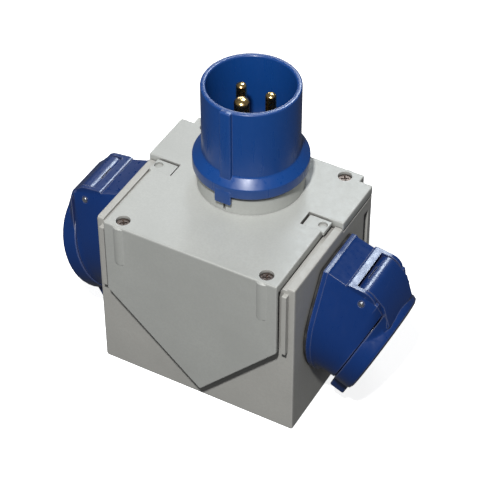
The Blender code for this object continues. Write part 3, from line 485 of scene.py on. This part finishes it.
turning_tree, given = new_tree("turned_piece", {"Sides": 96, "Corner radius": 0.0003, "Corner steps": 3})
outline = geo(turning_tree, "GeometryNodeMeshToCurve", [("Mesh", given["Geometry"])]).outputs["Curve"]
position = geo(turning_tree, "GeometryNodeInputPosition").outputs[0]
spot = geo(turning_tree, "ShaderNodeSeparateXYZ", [(0, position)])
radius = math_node(turning_tree, "SUBTRACT", spot.outputs["X"], HUB)
drop = math_node(turning_tree, "MULTIPLY", spot.outputs["Z"], -1.0)
laid = geo(turning_tree, "ShaderNodeCombineXYZ", [("X", radius), ("Y", drop)]).outputs[0]
outline = geo(turning_tree, "GeometryNodeSetPosition",
              [("Geometry", outline), ("Position", laid)]).outputs["Geometry"]
rounded = geo(turning_tree, "GeometryNodeFilletCurve",
              [("Curve", outline), ("Radius", given["Corner radius"]), ("Count", given["Corner steps"]),
               ("Limit Radius", True)], mode="POLY").outputs["Curve"]
circle = geo(turning_tree, "GeometryNodeCurvePrimitiveCircle",
             [("Resolution", given["Sides"]), ("Radius", HUB)]).outputs["Curve"]
swept = geo(turning_tree, "GeometryNodeCurveToMesh",
            [("Curve", circle), ("Profile Curve", rounded)]).outputs["Mesh"]
merged = geo(turning_tree, "GeometryNodeMergeByDistance", [("Geometry", swept), ("Distance", 1e-6)])
end_tree(turning_tree, merged.outputs["Geometry"], given)


def turned_piece(name, outline, closed, centre, finish, **sizes):
    """A turned piece standing at a centre; outline holds (radius, height) pairs."""
    points = [(reach, 0, height) for reach, height in outline]
    edges = [(i, i + 1) for i in range(len(points) - 1)]
    if closed:
        edges.append((len(points) - 1, 0))
    piece = make_with(turning_tree, name, points, edges, sizes, finish)
    piece.data.transform(Matrix.Translation(centre))
    return piece


print("turning tree nodes:", len(turning_tree.nodes))

# %% [markdown]
# ## The inlet shroud
# The blue shroud guards the three pins. It is a thin wall on a thicker collar, with a long keyway rib
# outside that lets the connector on in one position only. The wall and collar are turned in one piece; the
# rib and the little tab below the collar are rounded blocks joined on afterwards.

# %% Shroud
def rounded_block(name, low, high, radius, finish):
    """A block with rounded edges between two corners."""
    bm = bmesh.new()
    bmesh.ops.create_cube(bm, size=1)
    for vert in bm.verts:
        vert.co = [high[axis] if vert.co[axis] > 0 else low[axis] for axis in range(3)]
    bmesh.ops.bevel(bm, geom=bm.edges, offset=radius, segments=3, affect="EDGES", profile=0.5)
    mesh = bpy.data.meshes.new(name)
    bm.to_mesh(mesh)
    bm.free()
    mesh.materials.append(finish)
    piece = bpy.data.objects.new(name, mesh)
    bpy.context.collection.objects.link(piece)
    return piece


def join_on(piece, extra):
    """Fuse an extra solid onto a piece."""
    step = piece.modifiers.new("join", "BOOLEAN")
    step.operation = "UNION"
    step.solver = "EXACT"
    step.object = extra
    graph = bpy.context.evaluated_depsgraph_get()
    mesh = bpy.data.meshes.new_from_object(piece.evaluated_get(graph))
    piece.modifiers.clear()
    piece.data = mesh
    bpy.data.objects.remove(extra, do_unlink=True)
    for face in mesh.polygons:
        face.use_smooth = True
    mesh.set_sharp_from_angle(angle=CREASE)


shroud_low, shroud_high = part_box("inlet_shroud")
carrier_low, carrier_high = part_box("inlet_pin_carrier")
inlet = Vector(((carrier_low.x + carrier_high.x) / 2, (carrier_low.y + carrier_high.y) / 2, 0))
bore = (carrier_high.x - carrier_low.x) / 2 + 0.0003
collar = (shroud_high.x - shroud_low.x) / 2
WALL = 0.00225
COLLAR_HEIGHT = 0.009
TAB_DROP = 0.0045
TAB_HALF = 0.004
KEY_HALF = 0.0027
KEY_PROUD = 0.0016
wall = bore + WALL + 0.0002
collar_low = shroud_low.z + TAB_DROP
step = collar_low + COLLAR_HEIGHT
top = shroud_high.z
shroud_outline = [(bore, collar_low), (collar, collar_low), (collar, step - 0.0036), (wall + 0.0004, step),
                  (wall, step + 0.0006), (wall, top), (bore, top)]
shroud = turned_piece("plug_shroud", shroud_outline, True, inlet, finishes["lit_shroud_blue"],
                      **{"Sides": 128, "Corner radius": 0.0007, "Corner steps": 4})
key_front = inlet.y - wall - KEY_PROUD
key_back = inlet.y - wall + 0.001
tab_back = shroud_low.y + 0.0016
join_on(shroud, rounded_block("key", (-KEY_HALF, key_front, step - 0.002), (KEY_HALF, key_back, top),
                              0.0005, finishes["lit_shroud_blue"]))
join_on(shroud, rounded_block("tab", (-TAB_HALF, shroud_low.y, shroud_low.z),
                              (TAB_HALF, tab_back, collar_low + 0.003), 0.0004, finishes["lit_shroud_blue"]))
settle(shroud, ["inlet_shroud"])
print("shroud:", len(shroud.data.polygons), "faces, bore in mm", round(2000 * bore, 1))

# %% [markdown]
# ## Contact pins and hinge pins
# Each inlet pin is a turned brass bar with a round nose, so a connector slides on without catching. The
# hinge pins are plain steel bars with a small chamfer at their ends, lying across the box.

# %% Pins
for label in ("earth", "line", "neutral"):
    low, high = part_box("inlet_pin_" + label)
    reach = (high.x - low.x) / 2
    nose = [(0, low.z), (reach, low.z)]
    for step_number in range(9):
        turn = math.radians(10 * step_number)
        nose.append((reach * math.cos(turn), high.z - reach * 0.6 + reach * 0.6 * math.sin(turn)))
    nose.append((0, high.z))
    centre = Vector(((low.x + high.x) / 2, (low.y + high.y) / 2, 0))
    pin = turned_piece("brass_pin_" + label, nose, False, centre, finishes["brass"],
                       **{"Sides": 48, "Corner radius": 0.0002, "Corner steps": 2})
    settle(pin, ["inlet_pin_" + label])

for side in ("left", "right"):
    low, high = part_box("outlet_" + side + "_hinge_pin")
    reach = (high.z - low.z) / 2
    half = (high.y - low.y) / 2
    bar_outline = [(0, -half), (reach, -half), (reach, half), (0, half)]
    bar = turned_piece("steel_hinge_pin_" + side, bar_outline, False, Vector((0, 0, 0)),
                       finishes["pin_steel"],
                       **{"Sides": 40, "Corner radius": 0.0004, "Corner steps": 3})
    bar.data.transform(Matrix.Translation((low + high) / 2) @ Matrix.Rotation(math.pi / 2, 4, "X"))
    settle(bar, ["outlet_" + side + "_hinge_pin"])
print("turned pins: 5")

# %% [markdown]
# ## Cover screws
# Four zinc-plated screws hold the cover, each sunk in its own hole. They are all alike but for the angle
# they stopped at, so one head is made once, with its cross cut by a boolean, and Instance on Points puts a
# copy on each point with its own seeded turn. Realize Instances then makes them real mesh.

# %% The screw tree
screw_names = ["cover_screw_" + end + "_" + side for end in ("front", "back") for side in ("left", "right")]
first_low, first_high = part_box(screw_names[0])
screw_length = first_high.z - first_low.z

screw_sizes = {"Head radius": 0.0029, "Head height": 0.0019, "Shank radius": 0.0015, "Length": screw_length,
               "Cross width": 0.0007, "Cross span": 0.0036, "Cross depth": 0.0011, "Seed": 4}
screw_tree, given = new_tree("cross_head_screws", screw_sizes)
head = geo(screw_tree, "GeometryNodeMeshCone",
           [("Vertices", 40), ("Side Segments", 1), ("Radius Top", given["Head radius"]),
            ("Radius Bottom", given["Head radius"]), ("Depth", given["Head height"])]).outputs["Mesh"]
head_low = geo(screw_tree, "ShaderNodeCombineXYZ",
               [("Z", math_node(screw_tree, "MULTIPLY", given["Head height"], -1.0))]).outputs[0]
head = geo(screw_tree, "GeometryNodeTransform",
           [("Geometry", head), ("Translation", head_low)]).outputs["Geometry"]
shank_length = math_node(screw_tree, "SUBTRACT", given["Length"], given["Head height"])
shank = geo(screw_tree, "GeometryNodeMeshCone",
            [("Vertices", 24), ("Radius Top", given["Shank radius"]),
             ("Radius Bottom", given["Shank radius"]), ("Depth", shank_length)]).outputs["Mesh"]
shank_low = geo(screw_tree, "ShaderNodeCombineXYZ",
                [("Z", math_node(screw_tree, "MULTIPLY", given["Length"], -1.0))]).outputs[0]
shank = geo(screw_tree, "GeometryNodeTransform",
            [("Geometry", shank), ("Translation", shank_low)]).outputs["Geometry"]
solid = geo(screw_tree, "GeometryNodeMeshBoolean", operation="UNION", solver="EXACT")
screw_tree.links.new(head, solid.inputs[1])
screw_tree.links.new(shank, solid.inputs[1])
cross = geo(screw_tree, "GeometryNodeMeshBoolean", operation="DIFFERENCE", solver="EXACT")
screw_tree.links.new(solid.outputs["Mesh"], cross.inputs[0])
for long_side, short_side in (("Cross span", "Cross width"), ("Cross width", "Cross span")):
    size = geo(screw_tree, "ShaderNodeCombineXYZ",
               [("X", given[long_side]), ("Y", given[short_side]),
                ("Z", math_node(screw_tree, "MULTIPLY", given["Cross depth"], 2.0))]).outputs[0]
    bar = geo(screw_tree, "GeometryNodeMeshCube", [("Size", size)]).outputs["Mesh"]
    screw_tree.links.new(bar, cross.inputs[1])
points = geo(screw_tree, "GeometryNodeMeshToPoints", [("Mesh", given["Geometry"])]).outputs["Points"]
turns = geo(screw_tree, "FunctionNodeRandomValue", [("Seed", given["Seed"])], data_type="FLOAT")
turns.inputs[3].default_value = math.pi
spin = geo(screw_tree, "ShaderNodeCombineXYZ", [("Z", turns.outputs[1])]).outputs[0]
copies = geo(screw_tree, "GeometryNodeInstanceOnPoints",
             [("Points", points), ("Instance", cross.outputs["Mesh"]), ("Rotation", spin)]).outputs["Instances"]
end_tree(screw_tree, copies, given)

heads = []
for name in screw_names:
    low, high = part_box(name)
    heads.append(((low.x + high.x) / 2, (low.y + high.y) / 2, high.z))
screws = make_with(screw_tree, "cover_screws", heads, [], {}, finishes["zinc_plated_steel"])
settle(screws, screw_names)
print("cover screws:", len(screws.data.polygons), "faces")

# %% [markdown]
# ## Last checks
# The finished model is held against the measured box: the change of each side is printed in millimetres.
# The finished model has to stay inside the measured box.

# %% Sizes
new_low, new_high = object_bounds()
both = zip((*new_low, *new_high), (*model_low, *model_high))
print("size change in mm:", [round(1000 * (new - measured), 2) for new, measured in both])
